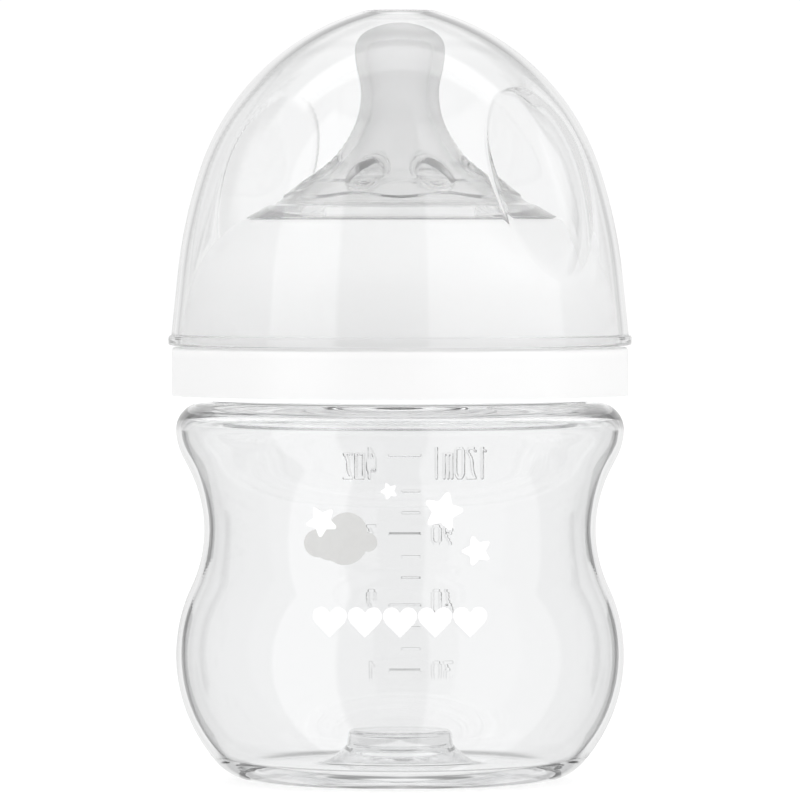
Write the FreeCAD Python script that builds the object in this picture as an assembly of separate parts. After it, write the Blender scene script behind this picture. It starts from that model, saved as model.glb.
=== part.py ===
"""Wide-neck baby bottle: waisted bottle, screw collar, teat and clear dome cap.

Millimetres, +Z up. The origin is the centre of the circle that the bottle stands on.
The front, with the printed pictures, faces -Y. The moulded volume scale is on the back.
"""
import FreeCAD, Part
import math
import os

V = FreeCAD.Vector
AXIS = V(0, 0, 1)
CENTRE = V(0, 0, 0)

# ---- bottle -----------------------------------------------------------------
WALL = 1.3
BULGE_R = 33.4              # largest radius of both bulges
LOW_BULGE_Z = 18.6
LOW_BULGE_ARC = 24.0
WAIST_R = 29.2
WAIST_ARC = 19.7
HIGH_BULGE_Z = 52.2
FOOT_ARC = 8.0
FLOOR = 2.0                 # thickness of the floor
SHOULDER_Z = 56.3
SHOULDER_WALL = 1.9
PUNT_R = 6.6                # raised gate pad in the middle of the floor
PUNT_UNDER_Z = 4.0
PUNT_TOP_Z = 7.4
PUNT_FLARE_R = 12.9
PUNT_RELIEF = 1.2           # depth of the groove under the pad's edge
NECK_FILLET = 1.5

# ---- neck and its screw thread ----------------------------------------------
NECK_R = 27.8
NECK_BORE_R = 26.2
RIM_Z = 69.7
RIM_ROUND = 0.4
LEAD = 4.5                  # rise of the thread per turn
THREAD_RISE = 1.4           # how far a thread stands off its wall
THREAD_ROOT = 1.9           # width of a thread at its wall
THREAD_CREST = 0.8
THREAD_BURIED = 0.3
NECK_THREAD_Z = 60.2
NECK_THREAD_TURNS = 1.4

# ---- collar -----------------------------------------------------------------
BAND_R = 34.0
BAND_Z = 56.8
SHELF_Z = 64.5
COLLAR_BORE_R = 29.5
POCKET_IN_R = 31.1
POCKET_OUT_R = 32.5
POCKET_Z = 63.0
DOME_R = 32.6               # radius of the dome where it leaves the shelf
DOME_SIDE = [(32.2, 68.9), (31.1, 73.5), (28.8, 78.4), (25.0, 82.4), (24.0, 83.05)]
ROOF_TOP_R = 24.3           # underside of the dome
ROOF_BELLY = (27.5, 77.3)
ROOF_FOOT_Z = 72.4
BAND_EDGE = 0.5
HOLE_R = 22.8
HOLE_Z = 83.4
LIP_Z = 81.6
RIB_IN_R = 26.2
RIB_OUT_R = 27.6
RIB_TOP_Z = 78.6
COLLAR_THREAD_TURNS = 1.3

# ---- teat -------------------------------------------------------------------
FLANGE_R = 28.7
FLANGE_Z = 71.5             # top face of the flange
TEAT_WALL = 1.7
GROOVE_R = 22.45
SKIRT_R = 25.4
NIPPLE_NECK_R = 5.86
NIPPLE_NECK_Z = 101.0
NIPPLE_R = 6.7
NIPPLE_TOP_Z = 112.6
CROWN_ARC = 11.0
CROWN_CORNER = 3.2
BULB_ARC = 14.0
FEED_HOLE_R = 0.3
CONE_FOOT = [(18.2, 86.3), (14.2, 89.4)]
CONE_BELLY = (9.7, 92.9)
CONE_ROOT = (7.0, 96.9)
BULB_DROP = 3.2             # height of the bulb's side below its widest circle
SKIRT_WALL = 1.8
SKIRT_INSIDE = [(17.2, 84.9), (17.6, 81.6), (21.6, 80.2)]
SKIRT_NECK = (25.0, 78.5)
GROOVE_LEAD_R = 23.9
PETALS = 8
PETAL_R = 13.2
PETAL_Z = 90.1
PETAL_TILT = 52.0           # how far the cone's face there points above level
PETAL_BALL = 5.0            # radius of the ball that hollows a petal
PETAL_DEPTH = 0.75
VENT_PANEL_ANGLE = 73.0
VENT_PANEL_STEP = [(22.6, 83.7), (22.75, 84.0), (20.75, 85.3), (20.1, 85.2)]

# ---- cap --------------------------------------------------------------------
CAP_WALL = 1.15
CAP_RIM_Z = 64.8
CAP_BEAD_R = 34.5
CAP_BEAD_TOP_Z = 66.3
CAP_BEAD_IN_R = 33.5
CAP_BEAD_TOP_R = 33.9
CAP_TOP_Z = 114.6
CAP_TOP_R = 5.1
CAP_CROWN_ARC = 36.0
CAP_SIDE_ARC = 76.8
CAP_CROWN_FROM = 74.6       # degrees above level of the surface normal
CAP_CROWN_TO = 18.2
CAP_SIDE_TO = 5.9
SCOOP_DIRECTION = -43.6     # degrees from +X; its twin is opposite
SCOOP_Z = 88.8
SCOOP_FLOOR_R = 27.5
SCOOP_WALL = 0.8            # the wall is thinner behind the grip
SCOOP_TILT = 19.4
SCOOP_ACROSS = 44.0         # radius of the hollow across
SCOOP_ALONG = 173.0         # radius of the hollow along its length
SCOOP_REACH = 34.0

# ---- surface marks ----------------------------------------------------------
INK = 0.12
MARK_RISE = 0.2
MARK_LINE = 0.3
BAR_LINE = 0.34
LONG_BAR = (-1.6, 3.1)
SHORT_BAR = (0.4, 3.0)
ML_END_X = 5.1
OZ_START_X = -3.9
NUMERAL_HEIGHT = 2.9
NUMERAL_ASPECT = 0.42
NUMERAL_GAP = 0.6
ML_PER_OZ = 30
LEVELS = {1: 14.3, 2: 24.9, 3: 35.6, 4: 46.2}     # height of each whole ounce


def at(r, z):
    return V(r, 0, z)


def arc_about(centre, start, end):
    """The short arc about a centre, from one point to another."""
    radius = (start - centre).Length
    middle = (start - centre) + (end - centre)
    middle.normalize()
    return Part.Arc(start, centre + middle * radius, end).toShape()


def polyline(points):
    return [Part.LineSegment(a, b).toShape() for a, b in zip(points, points[1:])]


def revolved(edges, angle=360.0):
    """A solid turned from a closed outline in the XZ plane."""
    face = Part.Face(Part.Wire(edges))
    solid = face.revolve(CENTRE, AXIS, angle)
    return solid if solid.Volume > 0 else solid.reversed()


def between(centre_a, radius_a, centre_b, radius_b):
    """Where two circles that touch from outside meet."""
    return centre_a + (centre_b - centre_a) * (radius_a / (radius_a + radius_b))


def ring(inner, outer, low, high):
    base = at(0, low)
    height = high - low
    return Part.makeCylinder(outer, height, base).cut(Part.makeCylinder(inner, height, base))


# ---- bottle -----------------------------------------------------------------
def side_edges(offset, foot_z, corner_z):
    """The waisted side from foot to shoulder, moved out by offset.

    The foot is tangent to the level foot_z, and the shoulder corner to corner_z.
    """
    low = at(BULGE_R - LOW_BULGE_ARC, LOW_BULGE_Z)
    waist_r = WAIST_R + WAIST_ARC
    reach = LOW_BULGE_ARC + WAIST_ARC
    waist = at(waist_r, LOW_BULGE_Z + math.sqrt(reach ** 2 - (waist_r - low.x) ** 2))
    gap = waist_r - BULGE_R
    drop = HIGH_BULGE_Z - waist.z
    high_arc = (gap ** 2 + drop ** 2 - WAIST_ARC ** 2) / (2 * (WAIST_ARC - gap))
    high = at(BULGE_R - high_arc, HIGH_BULGE_Z)
    low_arc = LOW_BULGE_ARC + offset
    foot_arc = FOOT_ARC + offset
    foot_centre_z = foot_z + foot_arc
    spread = math.sqrt((low_arc - foot_arc) ** 2 - (LOW_BULGE_Z - foot_centre_z) ** 2)
    foot = at(low.x + spread, foot_centre_z)
    heel = foot + (foot - low) * (foot_arc / (low_arc - foot_arc))
    lower = between(low, low_arc, waist, WAIST_ARC - offset)
    upper = between(high, high_arc + offset, waist, WAIST_ARC - offset)
    corner_arc = corner_z - HIGH_BULGE_Z
    crest = at(BULGE_R + offset, HIGH_BULGE_Z)
    corner = at(crest.x - corner_arc, HIGH_BULGE_Z)
    start = at(foot.x, foot_z)
    end = at(corner.x, corner_z)
    edges = [
        arc_about(foot, start, heel),
        arc_about(low, heel, lower),
        arc_about(waist, lower, upper),
        arc_about(high, upper, crest),
        arc_about(corner, crest, end),
    ]
    return start, end, edges


def body_block(offset):
    """The bottle's body as a solid block below the shoulder, moved out by offset."""
    start, end, side = side_edges(offset, -offset, SHOULDER_Z + offset)
    lid = polyline([end, at(0, end.z), at(0, start.z), start])
    return revolved(side + lid)


def thread(wall_r, outward, start_z, turns):
    """One helical ridge on a round wall, standing outward (+1) or inward (-1)."""
    buried = wall_r - outward * THREAD_BURIED
    crest = wall_r + outward * THREAD_RISE
    helix = Part.makeHelix(LEAD, LEAD * turns, wall_r)
    section = [
        at(buried, -THREAD_ROOT / 2),
        at(crest, -THREAD_CREST / 2),
        at(crest, THREAD_CREST / 2),
        at(buried, THREAD_ROOT / 2),
        at(buried, -THREAD_ROOT / 2),
    ]
    ridge = Part.Wire(helix.Edges).makePipeShell([Part.makePolygon(section)], True, True)
    ridge.translate(at(0, start_z))
    return ridge


def bottle_shell():
    foot, shoulder, side = side_edges(0, 0, SHOULDER_Z)
    inner_foot, inner_shoulder, inner_side = side_edges(-WALL, FLOOR, SHOULDER_Z - SHOULDER_WALL)
    under = [
        at(0, PUNT_UNDER_Z),
        at(PUNT_R - 0.4, PUNT_UNDER_Z),
        at(PUNT_R + 0.5, PUNT_UNDER_Z - 1.0),
        at(PUNT_R + 1.9, PUNT_UNDER_Z - PUNT_RELIEF),
    ]
    under_flare = Part.Arc(under[-1], at(11.6, 1.7), at(PUNT_FLARE_R, 0)).toShape()
    neck = [
        shoulder,
        at(NECK_R, SHOULDER_Z),
        at(NECK_R, RIM_Z - RIM_ROUND),
        at(NECK_R - RIM_ROUND, RIM_Z),
        at(NECK_BORE_R + RIM_ROUND, RIM_Z),
        at(NECK_BORE_R, RIM_Z - RIM_ROUND),
        at(NECK_BORE_R, inner_shoulder.z + NECK_FILLET),
    ]
    neck_foot = at(NECK_BORE_R + NECK_FILLET, inner_shoulder.z)
    fillet = arc_about(at(neck_foot.x, neck[-1].z), neck[-1], neck_foot)
    punt_edge = at(PUNT_FLARE_R, FLOOR)
    punt_step = at(PUNT_R + 1.3, PUNT_TOP_Z - 2.2)
    punt = [
        punt_step,
        at(PUNT_R + 1.0, PUNT_TOP_Z - 0.6),
        at(PUNT_R + 0.4, PUNT_TOP_Z),
        at(0, PUNT_TOP_Z),
        under[0],
    ]
    punt_flare = Part.Arc(punt_edge, at(10.6, 2.9), punt_step).toShape()
    edges = polyline(under) + [under_flare] + polyline([at(PUNT_FLARE_R, 0), foot]) + side
    edges += polyline(neck) + [fillet] + polyline([neck_foot, inner_shoulder])
    edges += inner_side + polyline([inner_foot, punt_edge]) + [punt_flare] + polyline(punt)
    return revolved(Part.__sortEdges__(edges))


# Strokes of each glyph, on a box one unit wide and one unit high.
GLYPHS = {
    "0": [[(0, 0.2), (0, 0.8), (0.3, 1), (0.7, 1), (1, 0.8), (1, 0.2), (0.7, 0), (0.3, 0), (0, 0.2)]],
    "1": [[(0.2, 0.8), (0.6, 1), (0.6, 0)]],
    "2": [[(0, 0.8), (0.3, 1), (0.7, 1), (1, 0.75), (0, 0), (1, 0)]],
    "3": [[(0, 1), (1, 1), (0.4, 0.6), (0.8, 0.55), (1, 0.3), (0.7, 0), (0.3, 0), (0, 0.2)]],
    "4": [[(0.75, 0), (0.75, 1), (0, 0.3), (1, 0.3)]],
    "6": [[(0.8, 1), (0.1, 0.45), (0, 0.2), (0.3, 0), (0.7, 0), (1, 0.25), (0.7, 0.5), (0.15, 0.5)]],
    "9": [[(0.2, 0), (0.9, 0.55), (1, 0.8), (0.7, 1), (0.3, 1), (0, 0.75), (0.3, 0.5), (0.85, 0.5)]],
    "m": [[(0, 0), (0, 0.6), (0.5, 0.6), (0.5, 0)], [(0.5, 0.6), (1, 0.6), (1, 0)]],
    "l": [[(0.5, 0), (0.5, 1)]],
    "o": [[(0, 0), (0, 0.6), (1, 0.6), (1, 0), (0, 0)]],
    "z": [[(0, 0.6), (1, 0.6), (0, 0), (1, 0)]],
}


def bar_tool(x0, x1, z0, z1):
    """A block that reaches out of the back of the bottle, over a rectangle of its wall."""
    return Part.makeBox(x1 - x0, 2 * BULGE_R, z1 - z0, V(x0, 0, z0))


def stroke_tool(start, end):
    """A block over one straight stroke between two points of the XZ plane."""
    run = end - start
    block = Part.makeBox(run.Length + MARK_LINE, 2 * BULGE_R, MARK_LINE)
    block.translate(V(-MARK_LINE / 2, 0, -MARK_LINE / 2))
    block.rotate(CENTRE, V(0, 1, 0), -math.degrees(math.atan2(run.z, run.x)))
    block.translate(start)
    return block


def text_tools(text, left, middle_z):
    """Blocks for a line of glyphs on the back, where reading runs towards -X."""
    tools = []
    width = NUMERAL_HEIGHT * NUMERAL_ASPECT
    for place, glyph in enumerate(text):
        corner_x = left - place * (width + NUMERAL_GAP)
        for stroke in GLYPHS[glyph]:
            points = [at(corner_x - x * width, middle_z + (z - 0.5) * NUMERAL_HEIGHT) for x, z in stroke]
            tools += [stroke_tool(a, b) for a, b in zip(points, points[1:])]
    return tools


def text_width(text):
    return len(text) * (NUMERAL_HEIGHT * NUMERAL_ASPECT + NUMERAL_GAP) - NUMERAL_GAP


def scale_marks():
    """Raised bars at each level, with millilitres on one side and ounces on the other."""
    tools = []
    for ounces, z in LEVELS.items():
        tools.append(bar_tool(*LONG_BAR, z - BAR_LINE / 2, z + BAR_LINE / 2))
        unit = ("ml", "oz") if ounces == max(LEVELS) else ("", "")
        millilitres = str(ounces * ML_PER_OZ) + unit[0]
        tools += text_tools(millilitres, ML_END_X + text_width(millilitres), z)
        tools += text_tools(str(ounces) + unit[1], OZ_START_X, z)
    heights = sorted(LEVELS.values())
    for low, high in zip(heights, heights[1:]):
        for part in (1 / 3, 2 / 3):
            z = low + (high - low) * part
            tools.append(bar_tool(*SHORT_BAR, z - MARK_LINE / 2, z + MARK_LINE / 2))
    skin = body_block(MARK_RISE).cut(body_block(-WALL / 2))
    back = Part.makeBox(4 * BULGE_R, 2 * BULGE_R, CAP_TOP_Z, V(-2 * BULGE_R, 5, 0))
    skin = skin.common(back)
    return [skin.common(tool) for tool in tools]


def make_bottle():
    screw = thread(NECK_R, 1, NECK_THREAD_Z, NECK_THREAD_TURNS)
    return bottle_shell().fuse([screw] + scale_marks()).removeSplitter()


# ---- prints on the front ----------------------------------------------------
def print_skin(tool):
    """The ink film over whatever part of the front a tool covers."""
    film = body_block(INK).cut(body_block(0))
    return film.common(tool)


def prism(points, rounding):
    """A block that reaches out of the front, over a rounded polygon of the XZ plane."""
    face = Part.Face(Part.makePolygon(points + [points[0]]))
    return face.makeOffset2D(rounding).extrude(V(0, -2 * BULGE_R, 0))


def star(x, z, size, turn):
    """A block over a five-pointed star with rounded tips."""
    rounding = 0.14 * size
    points = []
    for corner in range(10):
        radius = 0.86 * size if corner % 2 == 0 else 0.42 * size
        angle = math.radians(90 + turn + 36 * corner)
        points.append(V(x + radius * math.cos(angle), 0, z + radius * math.sin(angle)))
    return prism(points, rounding)


def disc(x, z, radius):
    return Part.makeCylinder(radius, 2 * BULGE_R, V(x, 0, z), V(0, -1, 0))


def heart(x, z, size):
    """A block over a heart: two discs and the wedge that hangs from them."""
    lobe = 0.27 * size
    top = z + 0.2 * size
    reach = lobe * math.sqrt(0.5)
    wedge = prism([
        V(x - lobe - reach, 0, top - reach),
        V(x, 0, z - 0.45 * size),
        V(x + lobe + reach, 0, top - reach),
        V(x, 0, top + 0.1 * size),
    ], 0.02 * size)
    return wedge.fuse([disc(x - lobe, top, lobe), disc(x + lobe, top, lobe)])


# Each star is its centre's x and z, its size, and its turn in degrees.
STARS = [(-1.6, 44.0, 1.25, 22), (6.3, 41.0, 2.9, -14), (11.2, 35.2, 2.2, 18), (-11.4, 39.5, 2.3, 30)]
CLOUD_LOBES = [(-11.95, 36.3, 2.05), (-7.7, 37.9, 2.95), (-4.65, 36.5, 1.37), (-8.1, 36.6, 3.4),
               (-10.4, 35.9, 2.05)]
HEARTS = 5
HEART_SIZE = 4.6
HEART_PITCH = 5.1
HEART_Z = 25.0


def make_stars():
    return Part.makeCompound([print_skin(star(*place)) for place in STARS])


def make_cloud():
    lobes = [disc(*lobe) for lobe in CLOUD_LOBES]
    cover = lobes[0].fuse(lobes[1:])
    return print_skin(cover.cut(star(*STARS[-1])))


def make_hearts():
    hearts = []
    for place in range(HEARTS):
        x = (place - (HEARTS - 1) / 2) * HEART_PITCH
        hearts.append(print_skin(heart(x, HEART_Z, HEART_SIZE)))
    return Part.makeCompound(hearts)


# ---- collar -----------------------------------------------------------------
def make_collar():
    band = [
        at(BAND_R - BAND_EDGE, BAND_Z),
        at(BAND_R, BAND_Z + BAND_EDGE),
        at(BAND_R, SHELF_Z - BAND_EDGE),
        at(BAND_R - BAND_EDGE, SHELF_Z),
        at(DOME_R, SHELF_Z),
    ]
    rise = [at(DOME_R, SHELF_Z)] + [at(r, z) for r, z in DOME_SIDE] + [at(HOLE_R, HOLE_Z)]
    dome = [Part.Arc(*rise[first:first + 3]).toShape() for first in (0, 2, 4)]
    lip_foot = at(ROOF_TOP_R, LIP_Z - BAND_EDGE)
    lip = polyline([at(HOLE_R, HOLE_Z), at(HOLE_R, LIP_Z), lip_foot])
    roof = Part.Arc(lip_foot, at(*ROOF_BELLY), at(COLLAR_BORE_R, ROOF_FOOT_Z)).toShape()
    skirt = [
        at(COLLAR_BORE_R, ROOF_FOOT_Z),
        at(COLLAR_BORE_R, BAND_Z),
        at(POCKET_IN_R, BAND_Z),
        at(POCKET_IN_R, POCKET_Z),
        at(POCKET_OUT_R, POCKET_Z),
        at(POCKET_OUT_R, BAND_Z),
        band[0],
    ]
    shell = revolved(Part.__sortEdges__(polyline(band) + dome + lip + [roof] + polyline(skirt)))
    rib = ring(RIB_IN_R, RIB_OUT_R, FLANGE_Z, RIB_TOP_Z)
    screw_z = NECK_THREAD_Z - LEAD / 2
    screw = thread(COLLAR_BORE_R, -1, screw_z, COLLAR_THREAD_TURNS)
    return shell.fuse([rib, screw]).removeSplitter()


# ---- teat -------------------------------------------------------------------
def nipple_outline(offset):
    """From the foot of the cone to the crown on the axis, moved in by offset."""
    foot = [p - at(0.62, 0.78) * offset for p in (at(r, z) for r, z in CONE_FOOT)]
    root = at(CONE_ROOT[0] - offset, CONE_ROOT[1])
    belly = at(*CONE_BELLY) - at(0.7, 0.7) * offset
    waist = at(NIPPLE_NECK_R - offset, NIPPLE_NECK_Z)
    crown_centre = at(0, NIPPLE_TOP_Z - CROWN_ARC)
    corner_r = NIPPLE_R - CROWN_CORNER
    corner = crown_centre + at(corner_r, math.sqrt((CROWN_ARC - CROWN_CORNER) ** 2 - corner_r ** 2))
    outward = (corner - crown_centre).normalize()
    crown_end = crown_centre + outward * (CROWN_ARC - offset)
    widest = corner + at(CROWN_CORNER - offset, 0)
    bulb_centre = at(NIPPLE_R - BULB_ARC, corner.z)
    bulb_reach = math.sqrt((BULB_ARC - offset) ** 2 - BULB_DROP ** 2)
    bulb_foot = bulb_centre + at(bulb_reach, -BULB_DROP)
    tip = at(0, NIPPLE_TOP_Z - offset)
    edges = [
        Part.Arc(foot[-1], belly, root).toShape(),
        Part.Arc(root, waist, bulb_foot).toShape(),
        arc_about(bulb_centre, bulb_foot, widest),
        arc_about(corner, widest, crown_end),
        arc_about(crown_centre, crown_end, tip),
    ]
    return foot, edges


def vent_panel():
    """A thin blank step, low on the front of the cone."""
    step = [at(r, z) for r, z in VENT_PANEL_STEP]
    panel = revolved(polyline(step + step[:1]), VENT_PANEL_ANGLE)
    panel.rotate(CENTRE, AXIS, -90 - VENT_PANEL_ANGLE / 2)
    return panel


def petals():
    tilt = math.radians(PETAL_TILT)
    normal = at(math.cos(tilt), math.sin(tilt))
    centre = at(PETAL_R, PETAL_Z) + normal * (PETAL_BALL - PETAL_DEPTH)
    balls = []
    for place in range(PETALS):
        ball = Part.makeSphere(PETAL_BALL, centre)
        ball.rotate(CENTRE, AXIS, -90 + 360 / PETALS * (place + 0.5))
        balls.append(ball)
    return balls


def make_teat():
    outer_foot, outer = nipple_outline(0)
    inner_foot, inner = nipple_outline(TEAT_WALL)
    skirt_in_r = SKIRT_R - SKIRT_WALL
    outside = [
        at(skirt_in_r, RIM_Z),
        at(FLANGE_R, RIM_Z),
        at(FLANGE_R, FLANGE_Z),
        at(SKIRT_R, FLANGE_Z),
        at(*SKIRT_NECK),
        at(GROOVE_LEAD_R, LIP_Z - 0.7),
        at(GROOVE_R, LIP_Z - 0.4),
        at(GROOVE_R, HOLE_Z + 0.1),
        at(HOLE_R + 0.3, HOLE_Z + 0.2),
    ] + outer_foot
    inside = [
        inner_foot[-1],
        inner_foot[0],
    ]
    inside += [at(r, z) for r, z in SKIRT_INSIDE]
    inside += [at(skirt_in_r - 0.6, SKIRT_NECK[1] - 0.5), at(skirt_in_r, RIM_Z)]
    close = polyline([at(0, NIPPLE_TOP_Z), at(0, NIPPLE_TOP_Z - TEAT_WALL)])
    edges = polyline(outside) + outer + close + inner + polyline(inside)
    body = revolved(Part.__sortEdges__(edges))
    feed_hole = Part.makeCylinder(FEED_HOLE_R, 3 * TEAT_WALL, at(0, NIPPLE_TOP_Z - 2 * TEAT_WALL))
    return body.fuse(vent_panel()).cut(petals() + [feed_hole]).removeSplitter()


# ---- cap --------------------------------------------------------------------
def cap_block(inset):
    """The dome as a solid block, moved in by inset."""
    def point(centre, radius, degrees):
        turn = math.radians(degrees)
        return centre + at(math.cos(turn), math.sin(turn)) * radius

    top = at(CAP_TOP_R, CAP_TOP_Z)
    crown_centre = point(top, -CAP_CROWN_ARC, CAP_CROWN_FROM)
    joint = point(crown_centre, CAP_CROWN_ARC, CAP_CROWN_TO)
    side_centre = point(joint, -CAP_SIDE_ARC, CAP_CROWN_TO)
    crown_arc = CAP_CROWN_ARC - inset
    side_arc = CAP_SIDE_ARC - inset
    start = point(crown_centre, crown_arc, CAP_CROWN_FROM)
    joint = point(crown_centre, crown_arc, CAP_CROWN_TO)
    hem = point(side_centre, side_arc, CAP_SIDE_TO)
    rim_z = CAP_RIM_Z - 2 * inset
    rim_r = hem.x + (hem.z - rim_z) * math.tan(math.radians(CAP_SIDE_TO))
    edges = [arc_about(crown_centre, start, joint), arc_about(side_centre, joint, hem)]
    edges += polyline([hem, at(rim_r, rim_z), at(0, rim_z), at(0, start.z), start])
    return revolved(Part.__sortEdges__(edges))


def scoop(grow):
    """The barrel that hollows one finger grip, made larger by grow."""
    across = SCOOP_ACROSS + grow
    along = SCOOP_ALONG + grow
    end_r = across - along + math.sqrt(along ** 2 - SCOOP_REACH ** 2)
    low = at(end_r, -SCOOP_REACH)
    high = at(end_r, SCOOP_REACH)
    edges = [Part.Arc(low, at(across, 0), high).toShape()]
    edges += polyline([high, at(0, SCOOP_REACH), at(0, -SCOOP_REACH), low])
    barrel = revolved(Part.__sortEdges__(edges))
    tilt = math.radians(SCOOP_TILT)
    barrel.rotate(CENTRE, V(0, 1, 0), -SCOOP_TILT)
    barrel.translate(at(SCOOP_FLOOR_R, SCOOP_Z) + at(math.cos(tilt), math.sin(tilt)) * SCOOP_ACROSS)
    return barrel


def both_sides(shape):
    sides = []
    for turn in (SCOOP_DIRECTION, SCOOP_DIRECTION + 180):
        side = shape.copy()
        side.rotate(CENTRE, AXIS, turn)
        sides.append(side)
    return sides


def make_cap():
    outer = cap_block(0)
    bead = revolved(polyline([
        at(CAP_BEAD_IN_R, CAP_RIM_Z),
        at(CAP_BEAD_R - 0.3, CAP_RIM_Z),
        at(CAP_BEAD_R, CAP_RIM_Z + 0.3),
        at(CAP_BEAD_R, CAP_BEAD_TOP_Z - 0.4),
        at(CAP_BEAD_TOP_R, CAP_BEAD_TOP_Z),
        at(CAP_BEAD_IN_R, CAP_BEAD_TOP_Z),
        at(CAP_BEAD_IN_R, CAP_RIM_Z),
    ]))
    outside = outer.cut(both_sides(scoop(0))).fuse(bead)
    inside = cap_block(CAP_WALL).cut(both_sides(scoop(SCOOP_WALL)))
    return outside.cut(inside).removeSplitter()


NODES = {
    "bottle": make_bottle,
    "collar": make_collar,
    "teat": make_teat,
    "cap": make_cap,
    "print_stars": make_stars,
    "print_cloud": make_cloud,
    "print_hearts": make_hearts,
}

os.makedirs("parts", exist_ok=True)
for node, make in NODES.items():
    shape = make()
    shape.exportStep("parts/" + node + ".step")
    box = shape.BoundBox
    print(node, "solids", len(shape.Solids), "valid", shape.isValid(), "mm3", round(shape.Volume, 1),
          "z", round(box.ZMin, 2), round(box.ZMax, 2), "x", round(box.XMin, 2), round(box.XMax, 2))
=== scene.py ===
import math

import bpy
import numpy as np
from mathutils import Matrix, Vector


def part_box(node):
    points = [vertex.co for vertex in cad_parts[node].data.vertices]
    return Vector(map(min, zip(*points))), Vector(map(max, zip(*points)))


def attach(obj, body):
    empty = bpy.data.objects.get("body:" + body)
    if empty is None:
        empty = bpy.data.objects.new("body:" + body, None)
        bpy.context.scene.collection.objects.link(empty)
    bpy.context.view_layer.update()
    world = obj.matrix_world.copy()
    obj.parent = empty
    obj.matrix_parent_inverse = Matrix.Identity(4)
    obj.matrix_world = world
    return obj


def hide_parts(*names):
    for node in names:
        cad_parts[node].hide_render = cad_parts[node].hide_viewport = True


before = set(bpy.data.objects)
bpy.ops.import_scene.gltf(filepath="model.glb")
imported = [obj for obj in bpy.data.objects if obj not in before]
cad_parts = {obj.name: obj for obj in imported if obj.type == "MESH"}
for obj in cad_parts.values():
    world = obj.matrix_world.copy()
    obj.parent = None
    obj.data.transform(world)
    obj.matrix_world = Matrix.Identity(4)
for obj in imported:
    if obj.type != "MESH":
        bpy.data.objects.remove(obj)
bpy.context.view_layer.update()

# Lengths below are in millimetres, and become metres where a mesh is made.
MM = 0.001


def size_of(node):
    """Lowest z, highest z and half the width of a CAD node, in millimetres."""
    low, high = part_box(node)
    return low[2] / MM, high[2] / MM, (high[0] - low[0]) / 2 / MM


FOOT_Z, RIM_Z, BULGE_R = size_of("bottle")
BAND_Z, HOLE_Z, BAND_R = size_of("collar")
SEAT_Z, NIPPLE_TOP_Z, FLANGE_R = size_of("teat")
CAP_RIM_Z, CAP_TOP_Z, BEAD_R = size_of("cap")


# ---- outlines ---------------------------------------------------------------
def smoothstep(low, high, value):
    t = np.clip((value - low) / (high - low), 0, 1)
    return t * t * (3 - 2 * t)


def arc(centre, start, end, step=0.5):
    """Points along the short arc about a centre."""
    centre, start, end = (np.array(p, float) for p in (centre, start, end))
    a0 = math.atan2(*(start - centre)[::-1])
    a1 = math.atan2(*(end - centre)[::-1])
    turn = (a1 - a0 + math.pi) % (2 * math.pi) - math.pi
    radius = np.linalg.norm(start - centre)
    count = max(3, math.ceil(abs(turn) * radius / step))
    angles = a0 + turn * np.linspace(0, 1, count + 1)
    return centre + radius * np.stack([np.cos(angles), np.sin(angles)], axis=1)


def arc_through(start, middle, end, step=0.5):
    """Points along the arc through three points."""
    (ax, ay), (bx, by), (cx, cy) = start, middle, end
    d = 2 * (ax * (by - cy) + bx * (cy - ay) + cx * (ay - by))
    a2, b2, c2 = ax * ax + ay * ay, bx * bx + by * by, cx * cx + cy * cy
    centre = (
        (a2 * (by - cy) + b2 * (cy - ay) + c2 * (ay - by)) / d,
        (a2 * (cx - bx) + b2 * (ax - cx) + c2 * (bx - ax)) / d,
    )
    return np.concatenate([arc(centre, start, middle, step), arc(centre, middle, end, step)[1:]])


def straight(start, end, step=1.2, guard=0.12):
    """Points along a line, with a close pair at each end that keeps its shading flat."""
    start, end = np.array(start, float), np.array(end, float)
    length = np.linalg.norm(end - start)
    if length < 1e-6:
        return start[None]
    count = max(1, math.ceil(length / step))
    places = set(np.linspace(0, 1, count + 1))
    if length > 3 * guard:
        places |= {guard / length, 1 - guard / length}
    return start + np.array(sorted(places))[:, None] * (end - start)


def rounded(corners, step=1.2):
    """Points along straight runs whose corners (r, z, radius) are rounded."""
    path = []
    here = np.array(corners[0][:2], float)
    for before, corner, after in zip(corners, corners[1:], corners[2:]):
        p, q, s = (np.array(c[:2], float) for c in (before, corner, after))
        back, on = (p - q) / np.linalg.norm(p - q), (s - q) / np.linalg.norm(s - q)
        half = math.acos(float(np.clip(back @ on, -1, 1))) / 2
        radius = corner[2] if len(corner) > 2 else 0.0
        if radius <= 0 or half > 1.56:
            path.append(straight(here, q, step))
            here = q
            continue
        cut = radius / math.tan(half)
        middle = q + (back + on) / np.linalg.norm(back + on) * radius / math.sin(half)
        path.append(straight(here, q + back * cut, step))
        path.append(arc(middle, q + back * cut, q + on * cut, max(0.05, radius * 0.25)))
        here = q + on * cut
    path.append(straight(here, corners[-1][:2], step))
    return joined(*path)


def joined(*runs):
    """One run of points, with repeats at the joints left out."""
    points = np.concatenate([np.asarray(run, float) for run in runs])
    keep = np.concatenate([[True], np.linalg.norm(np.diff(points, axis=0), axis=1) > 1e-4])
    return points[keep]


# ---- turned meshes ----------------------------------------------------------
def columns(count, dense=()):
    """Angles round the axis in degrees, closer together inside each dense (from, to, step)."""
    angles = [360 * i / count for i in range(count)]
    for low, high, step in dense:
        angles = [a for a in angles if not low - step < a < high + step]
        angles += list(np.arange(low, high + step / 2, step))
    return np.radians(sorted(set(np.round(angles, 5))))


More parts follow.
